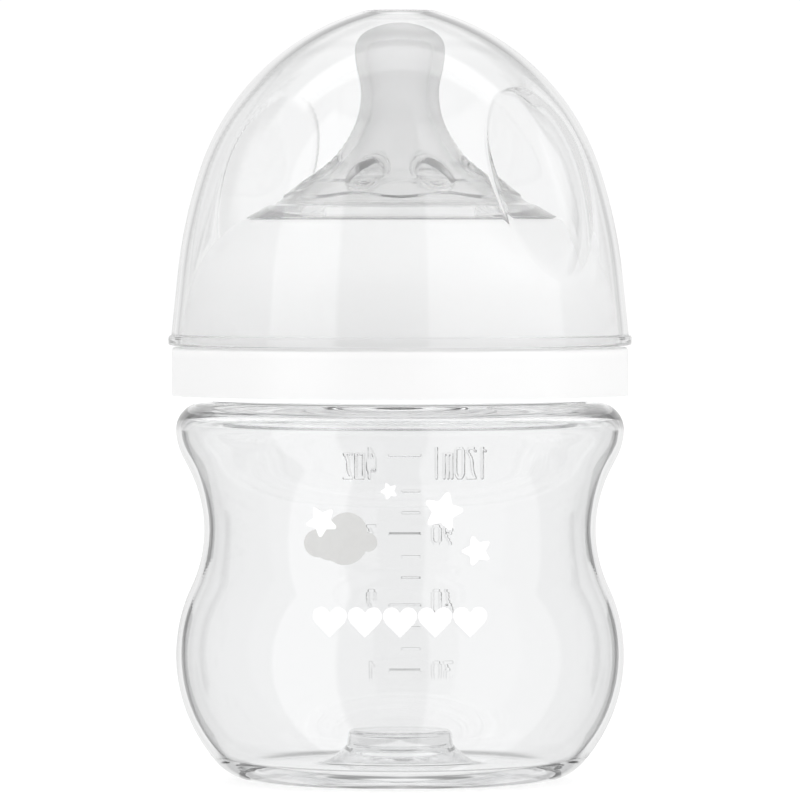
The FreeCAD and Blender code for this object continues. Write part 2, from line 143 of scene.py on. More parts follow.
def densified(outline, low, high, step, from_r=0.0, to_r=math.inf):
    """The outline with closer points between two heights and two radii."""
    points = [outline[0]]
    for p, q in zip(outline, outline[1:]):
        r, z = (p + q) / 2
        length = np.linalg.norm(q - p)
        if low <= z <= high and from_r <= r <= to_r and length > step:
            count = math.ceil(length / step)
            points += [p + (q - p) * k / count for k in range(1, count)]
        points.append(q)
    return np.array(points)


def eased(outline, low, high, reach, fade_in, fade_out, grid=0.05):
    """The outline with its sudden changes of curvature between two heights softened over a reach."""
    run = np.concatenate([[0], np.cumsum(np.hypot(*np.diff(outline, axis=0).T))])
    even_run = np.arange(0, run[-1], grid)
    weights = np.exp(-(np.arange(-3 * reach, 3 * reach + grid / 5, grid) / reach) ** 2 / 2)
    weights /= weights.sum()
    z = outline[:, 1]
    share = smoothstep(low, low + fade_in, z) * (1 - smoothstep(high - fade_out, high, z))
    result = outline.copy()
    for axis in (0, 1):
        even = np.interp(even_run, run, outline[:, axis])
        soft = np.interp(run, even_run, np.convolve(even, weights, mode="same"))
        result[:, axis] += share * (soft - outline[:, axis])
    return result


def turned(name, outline, angles, relief, loop=False):
    """A mesh turned about Z from an outline of (r, z) points.

    relief(angle, r, z) gives how far each point moves along the outline's normal, which
    is on the right of the way the outline runs. A loop outline closes on itself.
    """
    if loop:
        ahead, behind = np.roll(outline, -1, 0), np.roll(outline, 1, 0)
    else:
        ahead = np.vstack([outline[1:], outline[-1]])
        behind = np.vstack([outline[0], outline[:-1]])
    along = ahead - behind
    along /= np.linalg.norm(along, axis=1)[:, None]
    normal = np.stack([along[:, 1], -along[:, 0]], axis=1)
    angle, r, z = grid_of(outline, angles)
    rise = relief(angle, r, z)
    return turned_mesh(name, angle, r + rise * normal[None, :, 0], z + rise * normal[None, :, 1], loop)


def grid_of(outline, angles):
    """The angle, radius and height of every point of a turned outline."""
    angle = angles[:, None] + 0 * outline[None, :, 0]
    return angle, outline[None, :, 0] + 0 * angle, outline[None, :, 1] + 0 * angle


def turned_mesh(name, angle, r, z, loop=False):
    """A mesh from the points of each turn and row; a row on the axis becomes one point."""
    points = np.stack([r * np.cos(angle), r * np.sin(angle), z], axis=2) * MM
    turns, rows = r.shape
    index = np.arange(turns * rows).reshape(turns, rows)
    poles = [i for i in (0, rows - 1) if not loop and np.abs(r[:, i]).max() < 1e-6]
    for i in poles:
        index[:, i] = index[0, i]
    used = np.unique(index)
    renumber = np.zeros(turns * rows, int)
    renumber[used] = np.arange(len(used))
    faces = []
    for i in range(rows if loop else rows - 1):
        k = (i + 1) % rows
        a, b = index[:, i], index[:, k]
        c, d = np.roll(b, -1), np.roll(a, -1)
        if i in poles:
            corners = [a, c, b]
        elif k in poles:
            corners = [a, d, b]
        else:
            corners = [a, d, c, b]
        faces += renumber[np.stack(corners, axis=1)].tolist()
    return mesh_object(name, points.reshape(-1, 3)[used].tolist(), faces)


def mesh_object(name, points, faces):
    mesh = bpy.data.meshes.new(name)
    mesh.from_pydata(points, [], faces)
    mesh.validate()
    mesh.polygons.foreach_set("use_smooth", [True] * len(mesh.polygons))
    mesh.update()
    obj = bpy.data.objects.new(name, mesh)
    bpy.context.scene.collection.objects.link(obj)
    return obj


# ---- bottle -----------------------------------------------------------------
WALL = 1.3
LOW_BULGE_Z = 18.6
LOW_BULGE_ARC = 24.0
WAIST_R = 29.2
WAIST_ARC = 19.7
HIGH_BULGE_Z = 52.2
FOOT_ARC = 8.0
FLOOR = 2.0
SHOULDER_Z = 56.3
SHOULDER_WALL = 1.9
PUNT_R = 6.6
PUNT_UNDER_Z = 4.0
PUNT_TOP_Z = 7.4
PUNT_FLARE_R = 12.9
PUNT_RELIEF = 1.2
UNDER_LIP_R = PUNT_R + 1.9
UNDER_BELLY = (11.6, 1.7)
FLARE_BELLY = (10.6, 2.9)
FOOT_LIFT = 0.15
NECK_FILLET = 1.5
NECK_R = 27.8
NECK_BORE_R = 26.2
LEAD = 4.5
THREAD_RISE = 1.4
THREAD_ROOT = 1.9
THREAD_CREST = 0.8
NECK_THREAD_Z = 60.2
NECK_THREAD_TURNS = 1.4
COLLAR_THREAD_TURNS = 1.3
THREAD_FADE = 0.06
THREAD_ROWS = 0.22
# The upper bulge is eased into the waist, so that the clear wall shows one image of the scale and not two.
EASE_FROM_Z = 38.0
EASE_TO_Z = 53.6
EASE_REACH = 1.1
EASE_IN = 4.0
EASE_OUT = 6.0
# Heights and spacing of the closer rows of points: those that carry the scale, and those of the eased bore.
SCALE_ROWS = (14.0, 52.0, 0.14)
BORE_ROWS = (30.0, 53.0, 0.3)


def side(offset, foot_z, corner_z):
    """The waisted side from foot to shoulder, moved out by offset."""
    low = np.array([BULGE_R - LOW_BULGE_ARC, LOW_BULGE_Z])
    waist_r = WAIST_R + WAIST_ARC
    reach = LOW_BULGE_ARC + WAIST_ARC
    waist = np.array([waist_r, LOW_BULGE_Z + math.sqrt(reach ** 2 - (waist_r - low[0]) ** 2)])
    gap, drop = waist_r - BULGE_R, HIGH_BULGE_Z - waist[1]
    high_arc = (gap ** 2 + drop ** 2 - WAIST_ARC ** 2) / (2 * (WAIST_ARC - gap))
    high = np.array([BULGE_R - high_arc, HIGH_BULGE_Z])
    low_arc, foot_arc = LOW_BULGE_ARC + offset, FOOT_ARC + offset
    foot_z_centre = foot_z + foot_arc
    spread = math.sqrt((low_arc - foot_arc) ** 2 - (LOW_BULGE_Z - foot_z_centre) ** 2)
    foot = np.array([low[0] + spread, foot_z_centre])
    heel = foot + (foot - low) * foot_arc / (low_arc - foot_arc)
    lower = low + (waist - low) * low_arc / reach
    upper = high + (waist - high) * (high_arc + offset) / (high_arc + WAIST_ARC)
    crest = np.array([BULGE_R + offset, HIGH_BULGE_Z])
    corner = np.array([crest[0] - (corner_z - HIGH_BULGE_Z), HIGH_BULGE_Z])
    return joined(
        arc(foot, (foot[0], foot_z), heel),
        arc(low, heel, lower),
        arc(waist, lower, upper),
        arc(high, upper, crest),
        arc(corner, crest, (corner[0], corner_z), 0.25),
    )


def thread_relief(angle, z, start_z, turns):
    """How far a helical ridge stands off its wall, faded in and out at its ends."""
    rise = np.zeros_like(z)
    for whole in range(math.ceil(turns)):
        turned_by = angle / (2 * math.pi) + whole
        centre = start_z + LEAD * turned_by
        flank = (THREAD_ROOT - THREAD_CREST) / 2
        away = np.abs(z - centre)
        ridge = THREAD_RISE * (1 - smoothstep(THREAD_CREST / 2, THREAD_CREST / 2 + flank, away))
        fade = smoothstep(0, THREAD_FADE, turned_by) * smoothstep(0, THREAD_FADE, turns - turned_by)
        rise = np.maximum(rise, ridge * fade)
    return rise


GLYPHS = {
    "0": [[(0, 0.2), (0, 0.8), (0.3, 1), (0.7, 1), (1, 0.8), (1, 0.2), (0.7, 0), (0.3, 0), (0, 0.2)]],
    "1": [[(0.2, 0.8), (0.6, 1), (0.6, 0)]],
    "2": [[(0, 0.8), (0.3, 1), (0.7, 1), (1, 0.75), (0, 0), (1, 0)]],
    "3": [[(0, 1), (1, 1), (0.4, 0.6), (0.8, 0.55), (1, 0.3), (0.7, 0), (0.3, 0), (0, 0.2)]],
    "4": [[(0.75, 0), (0.75, 1), (0, 0.3), (1, 0.3)]],
    "6": [[(0.8, 1), (0.1, 0.45), (0, 0.2), (0.3, 0), (0.7, 0), (1, 0.25), (0.7, 0.5), (0.15, 0.5)]],
    "9": [[(0.2, 0), (0.9, 0.55), (1, 0.8), (0.7, 1), (0.3, 1), (0, 0.75), (0.3, 0.5), (0.85, 0.5)]],
    "m": [[(0, 0), (0, 0.6), (0.5, 0.6), (0.5, 0)], [(0.5, 0.6), (1, 0.6), (1, 0)]],
    "l": [[(0.5, 0), (0.5, 1)]],
    "o": [[(0, 0), (0, 0.6), (1, 0.6), (1, 0), (0, 0)]],
    "z": [[(0, 0.6), (1, 0.6), (0, 0), (1, 0)]],
}
LEVELS = {1: 14.3, 2: 24.9, 3: 35.6, 4: 46.2}
ML_PER_OZ = 30
NUMERAL_HEIGHT = 2.9
NUMERAL_WIDTH = 1.22
NUMERAL_PITCH = 1.82
ML_END_X = 5.1
OZ_START_X = -3.9
LONG_BAR = (-1.6, 3.1)
SHORT_BAR = (0.4, 3.0)
MARK_RISE = 0.2
MARK_HALF = 0.15
MARK_EDGE = 0.10
BAR_HALF = 0.17
# Angles round the bottle, with their spacing, and heights that hold the whole scale.
SCALE_ANGLES = (62.0, 110.0, 0.24)
SCALE_Z = (13.0, 53.0)


def text_strokes(text, start_x, middle_z):
    """The strokes of a text that runs towards -X from start_x, so that it reads from behind."""
    strokes = []
    for place, glyph in enumerate(text):
        x0 = start_x - place * NUMERAL_PITCH
        for run in GLYPHS[glyph]:
            points = [(x0 - x * NUMERAL_WIDTH, middle_z + (z - 0.5) * NUMERAL_HEIGHT) for x, z in run]
            strokes += list(zip(points, points[1:]))
    return strokes


def scale_strokes():
    """Every stroke of the moulded scale, as (start, end, half width) in x and z on the back."""
    text, bars = [], []
    for ounces, z in LEVELS.items():
        bars.append(((LONG_BAR[0], z), (LONG_BAR[1], z), BAR_HALF))
        units = ("ml", "oz") if ounces == max(LEVELS) else ("", "")
        millilitres = str(ounces * ML_PER_OZ) + units[0]
        width = (len(millilitres) - 1) * NUMERAL_PITCH + NUMERAL_WIDTH
        text += text_strokes(millilitres, ML_END_X + width, z)
        text += text_strokes(str(ounces) + units[1], OZ_START_X, z)
    heights = sorted(LEVELS.values())
    for low, high in zip(heights, heights[1:]):
        for share in (1 / 3, 2 / 3):
            z = low + (high - low) * share
            bars.append(((SHORT_BAR[0], z), (SHORT_BAR[1], z), MARK_HALF))
    return [(a, b, MARK_HALF) for a, b in text] + bars


def scale_relief(angle, r, z):
    """The raised scale on the back of the wall."""
    x = r * np.cos(angle)
    rise = np.zeros_like(z)
    back = np.sin(angle) > 0.5
    margin = 1.0
    for (ax, az), (bx, bz), half in scale_strokes():
        near = back & (x > min(ax, bx) - margin) & (x < max(ax, bx) + margin)
        near &= (z > min(az, bz) - margin) & (z < max(az, bz) + margin)
        px, pz = x[near], z[near]
        run = (bx - ax) ** 2 + (bz - az) ** 2
        t = np.clip(((px - ax) * (bx - ax) + (pz - az) * (bz - az)) / run, 0, 1)
        away = np.hypot(px - ax - t * (bx - ax), pz - az - t * (bz - az))
        height = MARK_RISE * (1 - smoothstep(half - MARK_EDGE / 2, half + MARK_EDGE, away))
        rise[near] = np.maximum(rise[near], height)
    return rise


def make_bottle():
    inner_shoulder_z = SHOULDER_Z - SHOULDER_WALL
    ease = (EASE_FROM_Z, EASE_TO_Z, EASE_REACH, EASE_IN, EASE_OUT)
    outer = eased(densified(side(0, FOOT_Z, SHOULDER_Z), *SCALE_ROWS), *ease)
    inner = eased(densified(side(-WALL, FLOOR, inner_shoulder_z), *BORE_ROWS), *ease)[::-1]
    under_lip = (UNDER_LIP_R, PUNT_UNDER_Z - PUNT_RELIEF)
    under = rounded([
        (0, PUNT_UNDER_Z), (PUNT_R - 0.2, PUNT_UNDER_Z, 0.5), (PUNT_R + 0.4, PUNT_UNDER_Z - 1.0, 0.4),
        under_lip,
    ], 0.6)
    under_flare = arc_through(under_lip, UNDER_BELLY, (PUNT_FLARE_R, FOOT_LIFT), 0.3)
    base = rounded([(PUNT_FLARE_R, FOOT_LIFT), (PUNT_FLARE_R + FOOT_LIFT, FOOT_Z, 0.1), outer[0]], 1.0)
    neck = rounded([
        outer[-1], (NECK_R, SHOULDER_Z, 0.3), (NECK_R, RIM_Z, 0.4), (NECK_BORE_R, RIM_Z, 0.4),
        (NECK_BORE_R, inner_shoulder_z + NECK_FILLET),
    ], 0.7)
    neck = densified(neck, SHOULDER_Z + 1.0, RIM_Z - 1.0, THREAD_ROWS, from_r=NECK_R - 0.5)
    fillet = arc((NECK_BORE_R + NECK_FILLET, inner_shoulder_z + NECK_FILLET), neck[-1],
                 (NECK_BORE_R + NECK_FILLET, inner_shoulder_z), 0.2)
    roof = straight(fillet[-1], inner[0], 0.8)
    floor = straight(inner[-1], (PUNT_FLARE_R, FLOOR), 1.0)
    punt_foot = (PUNT_R + 1.3, PUNT_TOP_Z - 2.2)
    punt_flare = arc_through((PUNT_FLARE_R, FLOOR), FLARE_BELLY, punt_foot, 0.3)
    punt = rounded([punt_foot, (PUNT_R + 1.0, PUNT_TOP_Z, 0.7), (0, PUNT_TOP_Z)], 0.6)
    outer_side = joined(under, under_flare, base, outer, neck)
    outline = joined(outer_side, fillet, roof, inner, floor, punt_flare, punt)
    outside = np.arange(len(outline)) < len(outer_side)

    def relief(angle, r, z):
        on_body = outside[None, :] & (z > SCALE_Z[0]) & (z < SCALE_Z[1]) & (r > WAIST_R - 1)
        on_neck = outside[None, :] & (z > SHOULDER_Z + 0.8) & (z < RIM_Z - 0.6) & (r > NECK_R - 0.05)
        thread = thread_relief(angle, z, NECK_THREAD_Z, NECK_THREAD_TURNS)
        return np.where(on_body, scale_relief(angle, r, z), 0) + np.where(on_neck, thread, 0)

    return turned("bottle_clear", outline, columns(160, dense=[SCALE_ANGLES]), relief)


# ---- collar -----------------------------------------------------------------
SHELF_Z = 64.5
SKIRT_R = 32.6
COLLAR_BORE_R = 29.5
POCKET_IN_R = 31.1
POCKET_OUT_R = 32.5
POCKET_Z = 63.0
HOLE_R = 22.8
LIP_Z = 81.6
RIB_IN_R = 26.2
RIB_OUT_R = 27.6
FLANGE_Z = 71.5
SHELF_FILLET = 0.35
# The outside of the dome and the inside of its roof, each as arcs through a middle point.
DOME_LOW = [(32.2, 68.9), (31.1, 73.5)]
DOME_HIGH = [(28.8, 78.4), (25.0, 82.4)]
DOME_TOP = [(24.1, 83.0), (23.1, HOLE_Z - 0.02)]
ROOF_TOP = (24.3, LIP_Z - 0.5)
ROOF_HIGH = [(25.4, 80.2), (RIB_IN_R, 79.2)]
ROOF_LOW = [(28.8, 74.7), (COLLAR_BORE_R, 72.4)]
RIB_FOOT_Z = 77.0
COLLAR_THREAD_END_Z = 67.0


def make_collar():
    outside = rounded([
        (POCKET_OUT_R, BAND_Z + 1), (POCKET_OUT_R, BAND_Z, 0.2), (BAND_R, BAND_Z, 0.6),
        (BAND_R, SHELF_Z, 0.55), (SKIRT_R + SHELF_FILLET, SHELF_Z),
    ], 0.8)
    dome_foot = (SKIRT_R, SHELF_Z + SHELF_FILLET)
    root = arc((SKIRT_R + SHELF_FILLET, SHELF_Z + SHELF_FILLET),
               (SKIRT_R + SHELF_FILLET, SHELF_Z), dome_foot, 0.1)
    dome_side = joined(
        arc_through(dome_foot, *DOME_LOW),
        arc_through(DOME_LOW[-1], *DOME_HIGH),
        arc_through(DOME_HIGH[-1], *DOME_TOP, 0.2),
    )
    lip = rounded([DOME_TOP[-1], (HOLE_R, HOLE_Z, 0.12), (HOLE_R, LIP_Z, 0.15), ROOF_TOP], 0.5)
    roof_high = arc_through(ROOF_TOP, *ROOF_HIGH)
    rib = rounded([
        ROOF_HIGH[-1], (RIB_IN_R, FLANGE_Z, 0.2), (RIB_OUT_R, FLANGE_Z, 0.2), (RIB_OUT_R, RIB_FOOT_Z),
    ], 0.8)
    roof_low = arc_through((RIB_OUT_R, RIB_FOOT_Z), *ROOF_LOW)
    bore = rounded([
        ROOF_LOW[-1], (COLLAR_BORE_R, BAND_Z, 0.2), (POCKET_IN_R, BAND_Z, 0.2),
        (POCKET_IN_R, POCKET_Z, 0.2), (POCKET_OUT_R, POCKET_Z, 0.2), (POCKET_OUT_R, BAND_Z + 1),
    ], 0.8)
    bore = densified(bore, BAND_Z + 0.3, COLLAR_THREAD_END_Z, THREAD_ROWS, to_r=COLLAR_BORE_R + 0.1)
    outline = joined(outside, root, dome_side, lip, roof_high, rib, roof_low, bore)[:-1]

    def relief(angle, r, z):
        on_bore = (np.abs(r - COLLAR_BORE_R) < 0.05) & (z < 70)
        thread = thread_relief(angle, z, NECK_THREAD_Z - LEAD / 2, COLLAR_THREAD_TURNS)
        return np.where(on_bore, thread, 0)

    return turned("collar_ring", outline, columns(240), relief, loop=True)


# ---- teat -------------------------------------------------------------------
TEAT_WALL = 1.7
GROOVE_R = 22.45
TEAT_SKIRT_R = 25.4
NIPPLE_NECK_R = 5.86
NIPPLE_NECK_Z = 101.0
NIPPLE_R = 6.7
CROWN_ARC = 11.0
CROWN_CORNER = 3.2
BULB_ARC = 14.0
BULB_DROP = 3.2
CONE_FOOT = [(18.2, 86.3), (14.2, 89.4)]
CONE_NORMAL = (0.62, 0.78)
CONE_BELLY = (9.7, 92.9)
CONE_ROOT = (7.0, 96.9)
TEAT_SKIRT_WALL = 1.8
SKIRT_INSIDE = [(17.2, 84.9, 0.6), (17.6, 81.6, 0.6), (21.6, 80.2, 1.0)]
GROOVE_LEAD_R = 23.9
CONE_Z = (84.6, 96.5)
CONE_ROWS = (83.6, 97.0, 0.16)
# A petal's half width, its half length up the cone, its depth, and the cone's rise per millimetre along it.
PETALS = 8
PETAL_Z = 90.1
PETAL_WIDE = 2.9
PETAL_TALL = 4.2
PETAL_DEPTH = 0.95
PETAL_SLOPE = 0.62
PETAL_RIB = 0.13
PETAL_RIM = 0.12
# The scalloped step under the petals, in millimetres along the cone from a petal's middle.
SCALLOP_FROM = -4.75
SCALLOP_WAVE = 0.5
SCALLOP_DEPTH = 0.28
SCALLOP_END = (-7.6, -6.6)
# The blank step: half its angle, how fast that narrows with height, its height and how far it stands off.
PANEL_ANGLE = math.radians(36.5)
PANEL_TAPER = 0.035
PANEL_Z = (83.7, 85.4)
PANEL_EDGE = 0.2
PANEL_RISE = 0.32


def nipple(offset, step):
    """From the foot of the cone to the crown on the axis, moved in by offset."""
    foot = [np.array(p) - np.array(CONE_NORMAL) * offset for p in CONE_FOOT]
    belly = np.array(CONE_BELLY) - 0.7 * offset
    root = np.array([CONE_ROOT[0] - offset, CONE_ROOT[1]])
    centre = np.array([0, NIPPLE_TOP_Z - CROWN_ARC])
    corner_r = NIPPLE_R - CROWN_CORNER
    corner = centre + np.array([corner_r, math.sqrt((CROWN_ARC - CROWN_CORNER) ** 2 - corner_r ** 2)])
    crown_end = centre + (corner - centre) / np.linalg.norm(corner - centre) * (CROWN_ARC - offset)
    widest = corner + np.array([CROWN_CORNER - offset, 0])
    bulb = np.array([NIPPLE_R - BULB_ARC, corner[1]])
    bulb_foot = bulb + np.array([math.sqrt((BULB_ARC - offset) ** 2 - BULB_DROP ** 2), -BULB_DROP])
    return foot, joined(
        arc_through(foot[1], belly, root, step),
        arc_through(root, (NIPPLE_NECK_R - offset, NIPPLE_NECK_Z), bulb_foot, step),
        arc(bulb, bulb_foot, widest, step),
        arc(corner, widest, crown_end, step),
        arc(centre, crown_end, (0, NIPPLE_TOP_Z - offset), step),
    )


def petal_relief(angle, r, z):
    """Hollow petals round the cone, each with a sharp arched rim and ribs at its foot."""
    pitch = 2 * math.pi / PETALS
    off = (angle + math.pi / 2 + pitch) % pitch - pitch / 2
    across = off * r
    along = (z - PETAL_Z) / PETAL_SLOPE
    up = along / PETAL_TALL
    narrow = PETAL_WIDE * (1 - 0.20 * np.clip(up, -1, 1))
    round_to = np.sqrt((across / narrow) ** 2 + up ** 2)
    floor = smoothstep(-1.0, 0.8, up)
    hollow = -PETAL_DEPTH * (0.2 + 0.8 * floor) * (1 - smoothstep(0.80, 1.0, round_to))
    ribs = PETAL_RIB * np.sin(2 * math.pi * round_to / 0.2) * (1 - smoothstep(0.74, 0.84, round_to))
    ribs *= 1 - smoothstep(-0.45, 0.0, up)
    rim = PETAL_RIM * np.exp(-((round_to - 1.10) / 0.06) ** 2) * smoothstep(-0.2, 0.5, up)
    wave = SCALLOP_FROM + SCALLOP_WAVE * np.cos(off / pitch * 2 * math.pi)
    step = -SCALLOP_DEPTH * (1 - smoothstep(-0.2, 0.2, along - wave)) * smoothstep(*SCALLOP_END, along)
    return hollow + ribs + rim + step


def panel_relief(angle, z):
    """The blank step low on the front of the cone."""
    low, high = PANEL_Z
    off = (angle + math.pi / 2 + math.pi) % (2 * math.pi) - math.pi
    reach = PANEL_ANGLE - (z - low) * PANEL_TAPER
    inside = smoothstep(-0.012, 0.012, reach - np.abs(off))
    lengthwise = smoothstep(low, low + PANEL_EDGE, z) * (1 - smoothstep(high - PANEL_EDGE, high, z))
    return PANEL_RISE * inside * lengthwise


def make_teat():
    outer_foot, outer = nipple(0, 0.3)
    inner_foot, inner = nipple(TEAT_WALL, 0.5)
    skirt_in = TEAT_SKIRT_R - TEAT_SKIRT_WALL
    low = rounded([
        (skirt_in + 1, SEAT_Z), (FLANGE_R, SEAT_Z, 0.4), (FLANGE_R, FLANGE_Z, 0.4),
        (TEAT_SKIRT_R, FLANGE_Z, 0.3), (TEAT_SKIRT_R - 0.4, 78.5, 2.0), (GROOVE_LEAD_R, LIP_Z - 0.7, 0.3),
        (GROOVE_R, LIP_Z - 0.4, 0.15), (GROOVE_R, HOLE_Z + 0.1, 0.08), (HOLE_R + 0.3, HOLE_Z + 0.2, 0.12),
        outer_foot[0],
    ], 0.7)
    cone = straight(outer_foot[0], outer_foot[1], 0.25)
    inside = rounded([
        inner_foot[1], inner_foot[0], *SKIRT_INSIDE,
        (skirt_in - 0.6, 78.0, 1.5), (skirt_in, SEAT_Z, 0.3), (skirt_in + 1, SEAT_Z),
    ], 0.7)
    front = densified(joined(low, cone, outer), *CONE_ROWS)
    outline = joined(front, [(0, NIPPLE_TOP_Z - TEAT_WALL)], inner[::-1], inside)[:-1]
    outer_rows = np.arange(len(outline)) < len(front)

    def relief(angle, r, z):
        on_cone = outer_rows[None, :] & (z > CONE_Z[0]) & (z < CONE_Z[1])
        on_step = outer_rows[None, :] & (z > PANEL_Z[0]) & (z < PANEL_Z[1] + PANEL_EDGE)
        return np.where(on_cone, petal_relief(angle, r, z), 0) + np.where(on_step, panel_relief(angle, z), 0)

    return turned("teat_silicone", outline, columns(480), relief, loop=True)


# ---- cap --------------------------------------------------------------------
CAP_WALL = 1.15
BEAD_IN_R = 33.6
BEAD_TOP_Z = 66.3
CAP_TOP_R = 5.1
CROWN_R = 36.0
SIDE_R = 76.8
# How many degrees upwards the surface faces where the crown starts, where it meets the side, and at the rim.
CROWN_FROM, CROWN_TO, SIDE_TO = 74.6, 18.2, 5.9
SCOOP_DIRECTION = math.radians(-43.6)
SCOOP_Z = 88.8
SCOOP_FLOOR_R = 27.5
SCOOP_TILT = math.radians(19.4)
SCOOP_ACROSS = 44.0
SCOOP_ALONG = 173.0
SCOOP_WALL = 0.8
SCOOP_REACH = math.radians(40)
# The heights that hold the scoops, and the angles, with their spacing, that hold each one.
SCOOP_ROWS = (73.0, 105.0)
SCOOP_NEAR = (289.0, 343.0, 0.25)
SCOOP_TWIN = (109.0, 163.0, 0.5)
# Radii between which a scoop's wall is looked for.
SEARCH_R = (5.0, 60.0)


def polar(centre, radius, degrees):
    turn = math.radians(degrees)
    return np.array([centre[0] + radius * math.cos(turn), centre[1] + radius * math.sin(turn)])


def dome(inset, rim_z, step):
    """From the rim up the side to the flat top, moved in by inset."""
    top = (CAP_TOP_R, CAP_TOP_Z)
    crown = polar(top, -CROWN_R, CROWN_FROM)
    joint = polar(crown, CROWN_R, CROWN_TO)
    flank = polar(joint, -SIDE_R, CROWN_TO)
    start = polar(crown, CROWN_R - inset, CROWN_FROM)
    joint = polar(crown, CROWN_R - inset, CROWN_TO)
    hem = polar(flank, SIDE_R - inset, SIDE_TO)
    rim_r = hem[0] + (hem[1] - rim_z) * math.tan(math.radians(SIDE_TO))
    return joined(
        straight((rim_r, rim_z), hem, step), arc(flank, hem, joint, step), arc(crown, joint, start, step),
        straight(start, (0, start[1]), step),
    )


def from_scoop(angle):
    """The angle from the middle of the nearer scoop."""
    return (angle - SCOOP_DIRECTION + math.pi / 2) % math.pi - math.pi / 2


def scoop_radius(angle, z, grow):
    """How far out the wall of a finger scoop is, at each angle and height, found by halving."""
    off = from_scoop(angle)
    tangent = np.array([-math.sin(SCOOP_TILT), math.cos(SCOOP_TILT)])
    outward = np.array([math.cos(SCOOP_TILT), math.sin(SCOOP_TILT)])
    foot = np.array([SCOOP_FLOOR_R, SCOOP_Z]) + outward * SCOOP_ACROSS
    low, high = (np.full_like(z, end) for end in SEARCH_R)
    for _ in range(34):
        r = (low + high) / 2
        x, y = r * np.cos(off) - foot[0], r * np.sin(off)
        h = z - foot[1]
        along = x * tangent[0] + h * tangent[1]
        away = np.hypot(x * outward[0] + h * outward[1], y)
        limit = SCOOP_ACROSS - SCOOP_ALONG + np.sqrt((SCOOP_ALONG + grow) ** 2 - along ** 2)
        outside = away > limit
        low, high = np.where(outside, r, low), np.where(outside, high, r)
    return np.where(np.abs(off) < SCOOP_REACH, low, SEARCH_R[1])


def soft_min(a, b, softness):
    h = np.clip(0.5 + 0.5 * (b - a) / softness, 0, 1)
    return b * (1 - h) + a * h - softness * h * (1 - h)


def make_cap():
    outside = dome(0, CAP_RIM_Z + 2, 0.5)
    outside = outside[outside[:, 1] > BEAD_TOP_Z + 0.3]
    bead = rounded([
        (BEAD_IN_R, CAP_RIM_Z), (BEAD_R, CAP_RIM_Z, 0.35), (BEAD_R, BEAD_TOP_Z, 0.45),
        (outside[0, 0] + 0.02, BEAD_TOP_Z, 0.15), outside[0],
    ], 0.5)
    inside = dome(CAP_WALL, CAP_RIM_Z + 0.3, 1.0)[::-1]
    rim = rounded([inside[-1], (inside[-1, 0] + 0.1, CAP_RIM_Z, 0.2), (BEAD_IN_R, CAP_RIM_Z)], 0.3)
    outside = densified(outside, *SCOOP_ROWS, 0.15)
    inside = densified(inside, *SCOOP_ROWS, 0.28)
    outline = joined(inside, rim, bead, outside)
    inner_rows = np.arange(len(outline)) < len(inside)
    angle, r, z = grid_of(outline, columns(160, dense=[SCOOP_TWIN, SCOOP_NEAR]))
    # The inner wall is rounded into the scoop, most of all on the scoop's right.
    softness = 0.5 + 2.0 * smoothstep(0.0, 0.25, from_scoop(angle))
    inner = soft_min(r, scoop_radius(angle, z, SCOOP_WALL), softness)
    outer = soft_min(r, scoop_radius(angle, z, 0.0), 0.1)
    hollowed = np.minimum(r, np.where(inner_rows[None, :], inner, outer))
    in_reach = (z > SCOOP_ROWS[0] - 1) & (z < SCOOP_ROWS[1] + 1)
    return turned_mesh("cap_dome", angle, np.where(in_reach, hollowed, r), z)


# ---- materials --------------------------------------------------------------
WHITE = (1, 1, 1, 1)
# Heights between which the collar's plastic goes from its darker lower colour to its lighter upper colour:
# painted shade on the band and painted light on the dome behind the cap.
COLLAR_PAINTED_LIGHT_Z = (63.0, 67.0)
# Painted light: the emission strength of the collar's inner and lower faces, which lifts the dark hollow
# over the neck.
INSIDE_PAINTED_LIGHT = 0.45
# Heights between which the silicone goes from clear to milky.
MILK_Z = (92.0, 98.0)
# The milky front of the blank step: from and to in x, y and z, each with the softness of its ends.
MILKY_STEP = {"X": (-10.9, 10.9, 0.3), "Y": (-30.0, 0.0, 0.3), "Z": (83.8, 85.2, 0.12)}


def new_material(name):
    material = bpy.data.materials.new(name)
    material.use_nodes = True
    tree = material.node_tree
    return material, tree, tree.nodes["Principled BSDF"]


def noise(tree, scale, detail=3.0, roughness=0.5):
    """Noise over the piece's own metres."""
    where = tree.nodes.new("ShaderNodeTexCoord")
    node = tree.nodes.new("ShaderNodeTexNoise")
    node.inputs["Scale"].default_value = scale
    node.inputs["Detail"].default_value = detail
    node.inputs["Roughness"].default_value = roughness
    tree.links.new(where.outputs["Object"], node.inputs["Vector"])
    return node.outputs["Fac"]


def coordinate(tree, source):
    """The X, Y and Z outputs of one kind of texture coordinate."""
    where = tree.nodes.new("ShaderNodeTexCoord")
    parts = tree.nodes.new("ShaderNodeSeparateXYZ")
    tree.links.new(where.outputs[source], parts.inputs["Vector"])
    return parts.outputs


def combined(tree, operation, *values):
    """The result of one calculation on outputs or numbers."""
    node = tree.nodes.new("ShaderNodeMath")
    node.operation = operation
    for socket, value in zip(node.inputs, values):
        if isinstance(value, (int, float)):
            socket.default_value = value
        else:
            tree.links.new(value, socket)
    return node.outputs["Value"]


def climb(tree, value, low, high, kind="SMOOTHSTEP"):
    """0 below low, 1 above high."""
    node = tree.nodes.new("ShaderNodeMapRange")
    node.interpolation_type = kind
    node.inputs["From Min"].default_value = low
    node.inputs["From Max"].default_value = high
    tree.links.new(value, node.inputs["Value"])
    return node.outputs["Result"]


def between(tree, value, low, high, soft, unit):
    """1 from low to high, with soft ends, all in a unit of the value."""
    up = climb(tree, value, (low - soft) * unit, (low + soft) * unit)
    down = climb(tree, value, (high - soft) * unit, (high + soft) * unit)
    return combined(tree, "MULTIPLY", up, combined(tree, "SUBTRACT", 1.0, down))


